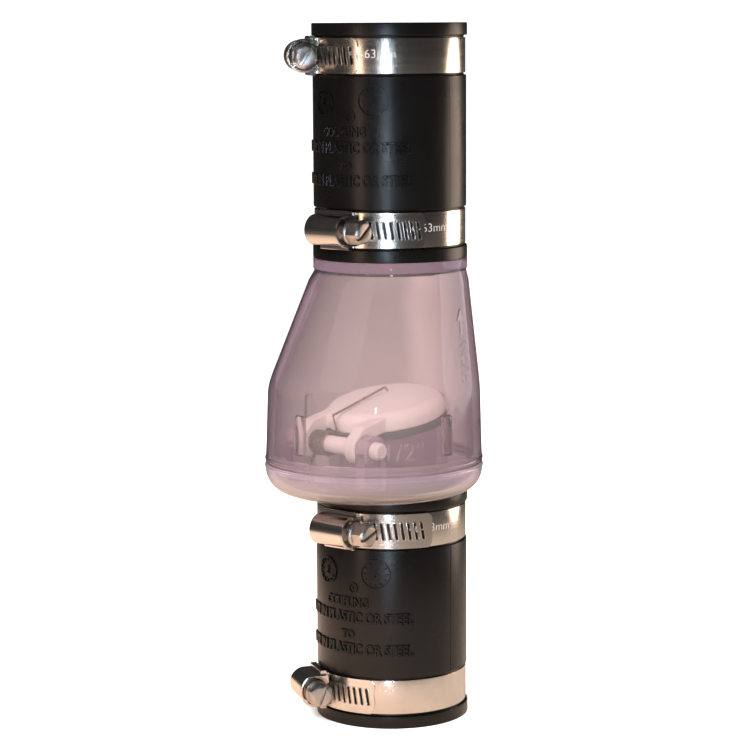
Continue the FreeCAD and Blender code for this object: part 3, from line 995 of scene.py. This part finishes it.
class VALVE_OT_base(bpy.types.Operator):
    """Clear lower bowl with its seat tube, spigot and hinge ears"""
    bl_idname = "valve.base"
    bl_label = "Clear Base"

    def execute(self, context):
        sizes = context.scene.valve_sizes
        floor = BODY_BASE_Z
        seat = moved(rod(SEAT_RADIUS, floor + 0.5, HINGE[2] + 14), shift(SEAT_X, 0, 0))
        solid(seat, [seat_cut()], "DIFFERENCE")
        spigot = rod(PIPE_RADIUS - 0.02, BASE_LOW_Z, floor + 1.0)
        gate = moved(rod(2.2, floor - 1.2, floor + 1.0, 24), shift(*GATE_PLACE))
        ears = [ear(EAR_INNER, EAR_OUTER), ear(-EAR_OUTER, -EAR_INNER)]
        body = solid(revolve(bowl_rings(sizes), FINE, False), [seat, spigot, gate] + ears, "UNION")
        spigot_bore = rod(PIPE_RADIUS - PIPE_WALL, BASE_LOW_Z - 1, floor)
        seat_bore = moved(rod(SEAT_BORE, floor - 5, HINGE[2] + 30), shift(SEAT_X, 0, 0))
        pin_hole = cross_rod(sizes.pin_radius + 0.02, -22, 22, 48, HINGE[0], HINGE[2])
        solid(body, [spigot_bore, seat_bore, pin_hole], "DIFFERENCE")
        finish_piece(body, "clear_base", clear_bowl, "valve", ["valve_base"], sharp=25.0)
        return {"FINISHED"}


# ---------------------------------------------------------------- flapper and hinge

# In the flapper's own frame X runs from the hinge to the disc's centre and Z up from the seat.
SEAL_THICKNESS = 2.7
RIM_TOP = 5.2
CROWN_RADIUS = 18.3
CROWN_FOOT = 9.6
CROWN_TOP = 10.6
KNUCKLE_RADIUS = 5.75
ARM_INNER, ARM_OUTER = 10.45, 15.75
COIL_NEAR_Y = 1.7
COIL_START = 35.0
COIL_TURNS = 6 + 134.0 / 360.0


def hinge_place():
    return Matrix.Translation(HINGE) @ spin(-SEAT_TILT, "Y")


class VALVE_OT_hinge_pin(bpy.types.Operator):
    """White hinge pin with chamfered ends"""
    bl_idname = "valve.hinge_pin"
    bl_label = "Hinge Pin"

    def execute(self, context):
        radius = context.scene.valve_sizes.pin_radius
        end = [(0.0, radius - 0.9), (0.15, radius - 0.7), (0.75, radius - 0.1), (0.95, radius)]
        near = [(PIN_LOW_Y, 0.0)] + [(PIN_LOW_Y + y, r) for y, r in end]
        far = [(PIN_HIGH_Y - y, r) for y, r in reversed(end)] + [(PIN_HIGH_Y, 0.0)]
        pin = along_y(lathe(near + far, 64), HINGE[0], HINGE[2])
        finish_piece(pin, "white_hinge_pin", white_plastic, "valve", ["hinge_pin"])
        return {"FINISHED"}


def flapper_disc(sizes):
    x = sizes.flapper_reach
    radius = sizes.flapper_radius
    rings = [(x, SEAL_THICKNESS, 0.0), (x, SEAL_THICKNESS, radius), (x, RIM_TOP, radius)]
    for step in range(1, 8):
        around = math.pi / 2 * step / 8
        rise = (CROWN_FOOT - RIM_TOP) * math.sin(around)
        rings.append((x, RIM_TOP + rise, radius - (radius - CROWN_RADIUS) * (1 - math.cos(around))))
    for step in range(9):
        share = 1 - step / 8
        rings.append((x, CROWN_TOP - (CROWN_TOP - CROWN_FOOT) * share * share, CROWN_RADIUS * share))
    return revolve(rings, 96, False)


def flapper_arm(low, high):
    top = [(0.0, 0.0), (-1.9, 5.7), (0.8, 7.9), (16.0, 8.7), (24.0, 8.8)]
    under = [(24.0, SEAL_THICKNESS), (6.2, SEAL_THICKNESS), (5.2, -2.3)]
    return [prism(top + under, low, high), cross_rod(KNUCKLE_RADIUS, low, high)]


class VALVE_OT_flapper(bpy.types.Operator):
    """White crowned flapper that swings on the hinge pin"""
    bl_idname = "valve.flapper"
    bl_label = "Flapper"

    def execute(self, context):
        sizes = context.scene.valve_sizes
        arms = flapper_arm(ARM_INNER, ARM_OUTER) + flapper_arm(-ARM_OUTER, -ARM_INNER)
        body = joined([flapper_disc(sizes)] + arms)
        remesh = body.modifiers.new("remesh", "REMESH")
        remesh.mode = "VOXEL"
        remesh.voxel_size = 0.42
        smooth = body.modifiers.new("smooth", "SMOOTH")
        smooth.factor = 0.5
        smooth.iterations = 9
        bake(body)
        solid(body, [cross_rod(sizes.pin_radius + 0.05, -17, 17)], "DIFFERENCE")
        finish_piece(body, "white_flapper", white_plastic, "flapper", ["flapper"], 60.0,
                     hinge_place())
        return {"FINISHED"}


class VALVE_OT_seal(bpy.types.Operator):
    """Rubber seal disc under the flapper"""
    bl_idname = "valve.seal"
    bl_label = "Flapper Seal"

    def execute(self, context):
        hole, rim, top = 3.05, 22.8, 2.66
        groove = [(15.5, 0.0), (16.0, 0.5), (17.5, 0.5), (18.0, 0.0)]
        outline = [(hole, 0.0)] + groove + [(rim, 0.0), (rim, top), (hole, top)]
        seal = turned(outline, 0.5, 128, context.scene.valve_sizes.flapper_reach)
        finish_piece(seal, "rubber_seal", seal_rubber, "flapper", ["flapper_seal"],
                     place=hinge_place())
        return {"FINISHED"}


def bent_path(corners, cut=0.7):
    """The corners joined by straight wire with a small bend at each inner one."""
    points = [corners[0]]
    for before, here, after in zip(corners, corners[1:], corners[2:]):
        start = here + (before - here).normalized() * cut
        end = here + (after - here).normalized() * cut
        points += bend(start, here, end, 4)
    return points + [corners[-1]]


def coil_path(sizes, near, far):
    steps = int(COIL_TURNS * 32)
    points = []
    for step in range(steps + 1):
        share = step / steps
        around = math.radians(COIL_START - 360.0 * COIL_TURNS * share)
        points.append(Vector((HINGE[0] + sizes.coil_radius * math.cos(around), near + (far - near) * share,
                              HINGE[2] + sizes.coil_radius * math.sin(around))))
    return points


class VALVE_OT_spring(bpy.types.Operator):
    """Wire torsion spring with its coil round the hinge pin"""
    bl_idname = "valve.spring"
    bl_label = "Torsion Spring"

    def execute(self, context):
        sizes = context.scene.valve_sizes
        near = COIL_NEAR_Y
        far = near + COIL_TURNS * sizes.coil_pitch
        leg = [Vector((0.0, near, 121.5)), Vector((-1.2, near, 122.9)), Vector((-28.1, near, 115.6))]
        foot = [Vector((-32.3, far, 97.1)), Vector((-32.8, far, 94.8)),
                Vector((-32.9, far, BODY_BASE_Z + 3.4))]
        points = bent_path(leg) + coil_path(sizes, near, far) + bent_path(foot)
        wire = tube(points, sizes.wire_radius)
        finish_piece(wire, "wire_spring", drawn_wire, None, ["torsion_spring"], 60.0)
        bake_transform(wire)
        return {"FINISHED"}


# ---------------------------------------------------------------- clamps

# In degrees: how far each band's tail runs past its screw, how far its size mark ends beyond
# the tail, and how far its screw's head is turned.
TAIL_SPANS = {"inlet_clamp_low": 58.5, "inlet_clamp_high": 71.5,
              "outlet_clamp_low": 68.0, "outlet_clamp_high": 58.0}
MARK_ENDS = {"inlet_clamp_high": 18.0, "outlet_clamp_low": 22.0, "outlet_clamp_high": 29.0}
HEAD_TURNS = {"inlet_clamp_low": 68.0, "inlet_clamp_high": 20.0,
              "outlet_clamp_low": 40.0, "outlet_clamp_high": 55.0}
LOOP_INNER, LOOP_OUTER = 27.22, 27.85
TAIL_INNER, TAIL_OUTER = 27.87, 28.5
TAIL_START = -16.0
TAIL_ROWS = 14
TAIL_STEPS = 60
SLOT_LEAN = 9.0
SLOT_START = -12.0
MARK_WIDTH = 17.5
HOUSING_BACK, HOUSING_FRONT = -7.3, 9.0
HOUSING_RADIUS = 5.6
CAVITY_RADIUS = 4.25
SHEET = 0.85
WORM_PITCH = 2.5
HEX_ACROSS = 7.94


def clamp_place(clamp):
    """The clamp's frame: X away from the pipe through its screw, Y along the screw."""
    x, y, z = JOINTS[clamp + "_screw_turn"]["pos_m"]
    return shift(0, 0, z / MM) @ Matrix.Rotation(math.atan2(y, x), 4, "Z")


def tail_end(height):
    """How far the tail's end is cut back at a height, in mm."""
    corner = max(0.0, abs(height) - 4.6)
    return 0.45 * corner * corner + 0.22 * math.sin(1.1 * height + 0.8)


def band_tail(span, half):
    heights = [half * (2 * row / TAIL_ROWS - 1) for row in range(TAIL_ROWS + 1)]
    outline = [(TAIL_OUTER, z) for z in heights] + [(TAIL_INNER, z) for z in reversed(heights)]
    bm = bmesh.new()
    loops = []
    for step in range(TAIL_STEPS + 1):
        loop = []
        for radius, z in outline:
            last = span - math.degrees(tail_end(z) / TAIL_OUTER)
            around = math.radians(TAIL_START + (last - TAIL_START) * step / TAIL_STEPS)
            loop.append(bm.verts.new((radius * math.cos(around), radius * math.sin(around), z)))
        loops.append(loop)
    for before, after in zip(loops, loops[1:]):
        bridge(bm, before, after)
    for loop in (loops[0], loops[-1]):
        for row in range(TAIL_ROWS):
            bm.faces.new((loop[row], loop[row + 1], loop[-2 - row], loop[-1 - row]))
    return outward_object(bm)


def slot_row(span, shape):
    """The shape at every slot of a band's tail, leaning as the worm's thread does."""
    pitch = math.degrees(bpy.context.scene.valve_sizes.slot_pitch / TAIL_OUTER)
    moved(shape, spin(SLOT_LEAN, "X"))
    return repeated(shape, int((span + 8.5) / pitch) + 1, SLOT_START, pitch)


def band_slots(span):
    return slot_row(span, rounded(block((27.1, -0.48, -3.15), (29.2, 0.48, 3.15)), 0.3))


def slot_edges(span):
    edge = block((28.2, -0.78, -3.45), (28.68, 0.78, 3.45))
    solid(edge, [block((28.0, -0.50, -3.17), (29.0, 0.50, 3.17))], "DIFFERENCE")
    return slot_row(span, rounded(edge, 0.12))


def band_wall(height):
    return 0.0, LOOP_OUTER


def build_band(clamp, half):
    span = TAIL_SPANS[clamp]
    loop = turned([(LOOP_INNER, -half), (LOOP_OUTER, -half), (LOOP_OUTER, half), (LOOP_INNER, half)], 0.18,
                  FINE)
    tail = solid(band_tail(span, half), [band_slots(span)], "DIFFERENCE")
    solid(loop, [band_slots(span)], "DIFFERENCE")
    rounded(tail, 0.08, 1)
    return joined([loop, tail, slot_edges(span)])


class VALVE_OT_bands(bpy.types.Operator):
    """Stainless clamp bands with slotted tails, and their size markings"""
    bl_idname = "valve.bands"
    bl_label = "Clamp Bands"

    def execute(self, context):
        half = context.scene.valve_sizes.band_half_width
        for clamp in CLAMPS:
            place = clamp_place(clamp)
            finish_piece(build_band(clamp, half), clamp + "_strip", rolled_steel, "valve",
                         [clamp + "_band"], place=place)
            if clamp in MARK_ENDS:
                end = TAIL_SPANS[clamp] + MARK_ENDS[clamp]
                middle = end - math.degrees(MARK_WIDTH / 2 / LOOP_OUTER)
                words = wrap(flat_text("40-63mm", 3.2, 0.05, MARK_WIDTH), band_wall, middle, 0.6)
                finish_piece(words, clamp + "_size_mark", etched_steel, "valve",
                             place=place)
        return {"FINISHED"}


def clamp_housing(axis):
    """An arched housing round the screw, open underneath, with a lip and a foot flange."""
    back, front, radius = HOUSING_BACK, HOUSING_FRONT, HOUSING_RADIUS
    foot = axis - radius
    inside = back + SHEET, front - SHEET
    lip_profile = [(front - 1.5, 0), (front - 1.5, radius - 0.4), (front - 1.1, radius + 0.25),
                   (front - 0.6, radius + 0.55), (front - 0.2, radius + 0.5), (front, radius + 0.15),
                   (front, 0)]
    arch = cross_rod(radius, back, front, 72, axis)
    lip = along_y(lathe(lip_profile, 72), axis)
    legs = block((foot, back, -radius), (axis, front, radius))
    flange = prism(soften([(foot, -7.15), (30.35, -7.15), (30.35, 7.15), (foot, 7.15)], 0.5), -6.7, 7.3)
    solid(arch, [lip, legs, flange], "UNION")
    cavity = cross_rod(CAVITY_RADIUS, *inside, 48, axis)
    drop = block((foot - 1, inside[0], -CAVITY_RADIUS), (axis, inside[1], CAVITY_RADIUS))
    bore = cross_rod(3.1, back - 1, front + 1, 48, axis)
    seat = rod(29.15, -15, 15, FINE)
    solid(arch, [cavity, drop, bore, seat], "DIFFERENCE")
    return rounded(arch, 0.2, 2, 40.0)


class VALVE_OT_housings(bpy.types.Operator):
    """Stainless screw housings of the four clamps"""
    bl_idname = "valve.housings"
    bl_label = "Screw Housings"

    def execute(self, context):
        pattern = clamp_housing(context.scene.valve_sizes.housing_axis)
        for clamp in CLAMPS:
            finish_piece(mesh_object(pattern.data.copy()), clamp + "_shell", rolled_steel, "valve",
                         [clamp + "_housing"], place=clamp_place(clamp))
        discard(pattern)
        return {"FINISHED"}


def clamp_screw():
    """Worm screw about Z with its slotted hex head upwards."""
    core = lathe([(-7.2, 0), (-7.2, 2.8), (-7.0, 3.0), (-6.0, 3.0), (-6.0, 2.9), (7.7, 2.9), (7.7, 3.0),
                  (10.3, 3.0), (10.5, 3.4), (10.6, 4.6), (11.2, 4.7), (11.7, 4.3), (11.9, 3.0), (11.9, 0)],
                  64)
    ridge = lathe([(-5.6, 2.7), (-4.9, 3.68), (-4.5, 3.68), (-3.8, 2.7)], 64, True)
    repeated(ridge, 5, 0.0, 0.0, WORM_PITCH)
    bm = bmesh.new()
    corner = HEX_ACROSS / math.sqrt(3)
    bmesh.ops.create_cone(bm, cap_ends=True, segments=6, radius1=corner, radius2=corner, depth=5.8)
    head = moved(new_object(bm), shift(0, 0, 14.5))
    dome = lathe([(11, 0), (11, 5.2), (16.0, 5.2), (16.1, 4.6), (16.9, 3.9), (17.4, 3.3), (17.4, 0)], 64)
    solid(head, [dome], "INTERSECT")
    solid(head, [block((-6, -0.6, 15.9), (6, 0.6, 18.5))], "DIFFERENCE")
    return joined([core, ridge, rounded(head, 0.14, 2, 30.0)])


class VALVE_OT_screws(bpy.types.Operator):
    """Worm screws with slotted hex heads"""
    bl_idname = "valve.screws"
    bl_label = "Clamp Screws"

    def execute(self, context):
        axis = context.scene.valve_sizes.housing_axis
        pattern = clamp_screw()
        for clamp in CLAMPS:
            body = clamp + "_screw"
            place = clamp_place(clamp) @ shift(axis, 0, 0) @ spin(HEAD_TURNS[clamp], "Y") @ spin(-90, "X")
            finish_piece(mesh_object(pattern.data.copy()), clamp + "_worm", turned_steel, body,
                         [body], place=place)
        discard(pattern)
        return {"FINISHED"}


class VALVE_OT_kept_parts(bpy.types.Operator):
    """Finishes of the pieces whose shape comes with the frame"""
    bl_idname = "valve.kept_parts"
    bl_label = "Saddles And Seal Fasteners"

    def execute(self, context):
        kept = {clamp + "_saddle": rolled_steel for clamp in CLAMPS}
        kept.update(seal_retainer=rolled_steel, seal_screw=turned_steel)
        for node, finish in kept.items():
            for slot in frame["nodes"][node].material_slots:
                slot.material = existing(finish)
        return {"FINISHED"}


# ---------------------------------------------------------------- stage

CLEAR_PIECES = ("clear_bonnet", "clear_base", "bonnet_markings", "neck_ring")


def bearing_vector(bearing):
    around = math.radians(bearing)
    return Vector((math.cos(around), math.sin(around), 0.0))


def add_camera(context):
    stage = context.scene.valve_stage
    toward = bearing_vector(VIEW_BEARING)
    up = Vector((0, 0, 1))
    ahead = -toward
    right = ahead.cross(up)
    level = ahead * math.cos(stage.yaw) - right * math.sin(stage.yaw)
    aim = level * math.cos(stage.pitch) - up * math.sin(stage.pitch)
    data = bpy.data.cameras.new("camera")
    data.lens = stage.lens
    data.sensor_width = 36.0
    data.clip_start = 0.01
    camera = bpy.data.objects.new("camera", data)
    turn = aim.to_track_quat("-Z", "Y").to_matrix().to_4x4()
    place = Matrix.Translation(toward * stage.distance + up * stage.height)
    camera.matrix_world = place @ turn @ Matrix.Rotation(stage.roll, 4, "Z")
    context.scene.collection.objects.link(camera)
    context.scene.camera = camera


def add_light(name, side, distance, height, size, power, tint, mirrored=True):
    """A soft light aimed at the valve; side is its bearing from the camera's, in degrees."""
    data = bpy.data.lights.new(name, "AREA")
    data.shape = "ELLIPSE"
    data.size, data.size_y = size
    data.energy = power
    data.color = tint
    light = bpy.data.objects.new(name, data)
    light.location = bearing_vector(VIEW_BEARING + side) * distance + Vector((0, 0, height))
    aim = Vector((0, 0, CAD_BOX[1][2] / 2)) - light.location
    light.rotation_euler = aim.to_track_quat("-Z", "Y").to_euler()
    light.visible_camera = False
    light.visible_transmission = False
    light.visible_glossy = mirrored
    bpy.context.scene.collection.objects.link(light)
    return light


def link_clear_body(lights, state):
    """Keeps lights off the clear pieces, or on them alone."""
    linked = bpy.data.collections.new("clear_pieces")
    for name in CLEAR_PIECES:
        linked.objects.link(bpy.data.objects[name])
    for member in linked.collection_objects:
        member.light_linking.link_state = state
    for light in lights:
        light.light_linking.receiver_collection = linked


def light_valve():
    streaks = [
        add_light("front_cool", -5.0, 0.45, 0.15, (0.032, 0.34), 0.66, (0.62, 0.80, 1.0)),
        add_light("front_soft", -9.0, 0.60, 0.15, (0.18, 0.36), 0.10, (1.0, 0.96, 0.93)),
        add_light("left_warm", -45.0, 0.45, 0.15, (0.09, 0.34), 0.26, (1.0, 0.72, 0.52)),
        add_light("right_warm", 112.0, 0.45, 0.15, (0.28, 0.34), 1.05, (1.0, 0.78, 0.62)),
    ]
    link_clear_body(streaks, "EXCLUDE")
    glow = add_light("right_glow", 108.0, 0.90, 0.35, (0.95, 1.10), 3.8, (1.0, 0.95, 0.92))
    link_clear_body([glow], "INCLUDE")
    add_light("neck_spot", 2.0, 1.00, 0.08, (0.05, 0.05), 0.10, (0.80, 0.90, 1.0))
    add_light("left_glow", -50.0, 0.90, 0.92, (0.90, 0.70), 1.1, (1.0, 0.96, 0.94))
    add_light("front_fill", -22.0, 1.30, 1.00, (0.50, 0.50), 34.0, (1.0, 0.92, 0.84), False)
    add_light("overhead", 20.0, 0.35, 1.60, (1.2, 1.2), 14.0, (1.0, 0.97, 0.93), False)


def pale_room():
    world = bpy.data.worlds.new("pale_room")
    world.use_nodes = True
    tree = world.node_tree
    # Pale to the camera, a painted dark reflection in mirroring surfaces, and a painted pink light seen
    # through the clear body.
    room = surroundings(tree, (1.0, 0.99, 0.98), (0.032, 0.029, 0.028), (0.82, 0.73, 0.77))
    tree.links.new(room, tree.nodes["Background"].inputs["Color"])
    tree.nodes["Background"].inputs["Strength"].default_value = 1.35
    return world


class VALVE_OT_stage(bpy.types.Operator):
    """Floor, soft lights and camera"""
    bl_idname = "valve.stage"
    bl_label = "Stage"

    def execute(self, context):
        bm = bmesh.new()
        bmesh.ops.create_grid(bm, x_segments=1, y_segments=1, size=30.0)
        floor = new_object(bm)
        floor.name = "floor"
        floor.data.materials.append(existing(floor_paint))
        light_valve()
        context.scene.world = pale_room()
        context.scene.view_settings.view_transform = "Standard"
        add_camera(context)
        return {"FINISHED"}


class VALVE_PT_panel(bpy.types.Panel):
    """Buttons that make each group of pieces"""
    bl_idname = "VALVE_PT_panel"
    bl_label = "Check Valve"
    bl_space_type = "VIEW_3D"
    bl_region_type = "UI"
    bl_category = "Check Valve"

    def draw(self, context):
        for operator in OPERATORS:
            self.layout.operator(operator.bl_idname)


OPERATORS = (
    VALVE_OT_sleeves, VALVE_OT_base, VALVE_OT_bonnet, VALVE_OT_hinge_pin, VALVE_OT_flapper, VALVE_OT_seal,
    VALVE_OT_spring, VALVE_OT_bands, VALVE_OT_housings, VALVE_OT_screws, VALVE_OT_kept_parts, VALVE_OT_stage,
)
GROUPS = {"valve_sizes": ValveSizes, "valve_colours": ValveColours, "valve_stage": ValveStage}
CLASSES = (*GROUPS.values(), *OPERATORS, VALVE_PT_panel)


def register():
    for item in CLASSES:
        bpy.utils.register_class(item)
    for name, group in GROUPS.items():
        setattr(bpy.types.Scene, name, PointerProperty(type=group))


def unregister():
    for name in GROUPS:
        delattr(bpy.types.Scene, name)
    for item in reversed(CLASSES):
        bpy.utils.unregister_class(item)


def main():
    register()
    bpy.ops.valve.sleeves()
    bpy.ops.valve.base()
    bpy.ops.valve.bonnet()
    bpy.ops.valve.hinge_pin()
    bpy.ops.valve.flapper()
    bpy.ops.valve.seal()
    bpy.ops.valve.spring()
    bpy.ops.valve.bands()
    bpy.ops.valve.housings()
    bpy.ops.valve.screws()
    bpy.ops.valve.kept_parts()
    bpy.ops.valve.stage()


if __name__ == "__main__":
    main()
